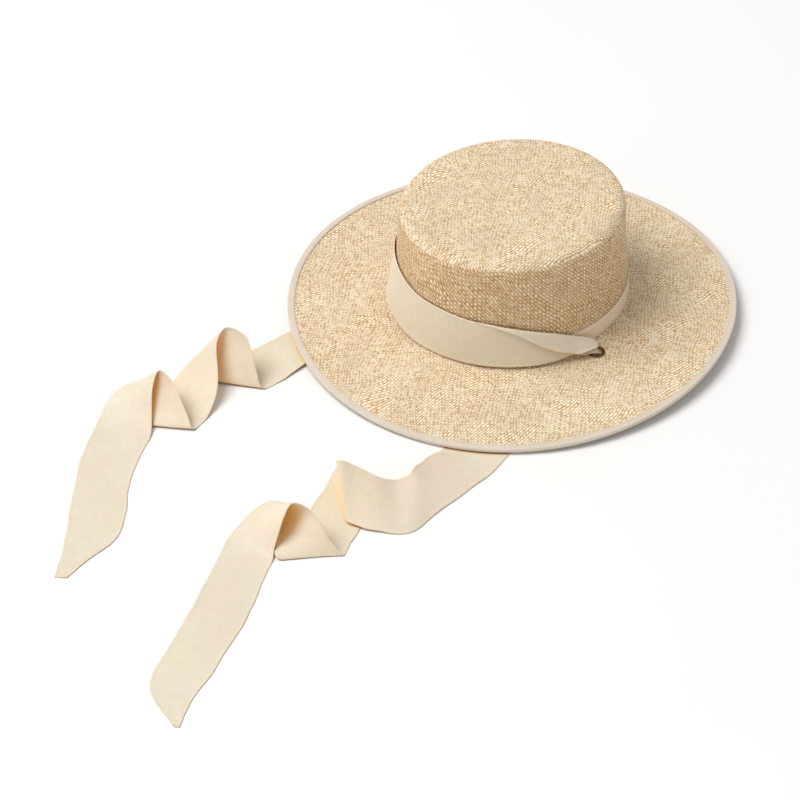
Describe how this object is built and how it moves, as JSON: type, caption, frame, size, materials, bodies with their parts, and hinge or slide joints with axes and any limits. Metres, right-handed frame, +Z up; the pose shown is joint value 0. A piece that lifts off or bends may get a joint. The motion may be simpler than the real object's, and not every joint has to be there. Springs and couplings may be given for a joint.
{
  "type": "flat top straw hat",
  "caption": "Woven straw hat with a flat crown, a wide bound brim, eyelets and a long satin ribbon lying in loose folds.",
  "frame": {"origin": "centre of the outline of hat and ribbon, on the surface that they lie on", "axes": "+Z up along the crown's axis, -Y towards the front of the hat and the ribbon's tails, +X towards the right eyelet"},
  "size_m": [0.393, 0.6434, 0.1072],
  "materials": {
    "straw": "natural plain-woven straw",
    "grosgrain": "ribbed grosgrain tape",
    "satin": "soft satin",
    "brass": "antique bronze"
  },
  "bodies": {
    "root": {"crown": "straw", "brim": "straw", "brim_binding": "grosgrain", "hat_band": "grosgrain", "eyelet_right": "brass", "eyelet_left": "brass", "ribbon": "satin"}
  },
  "joints": []
}
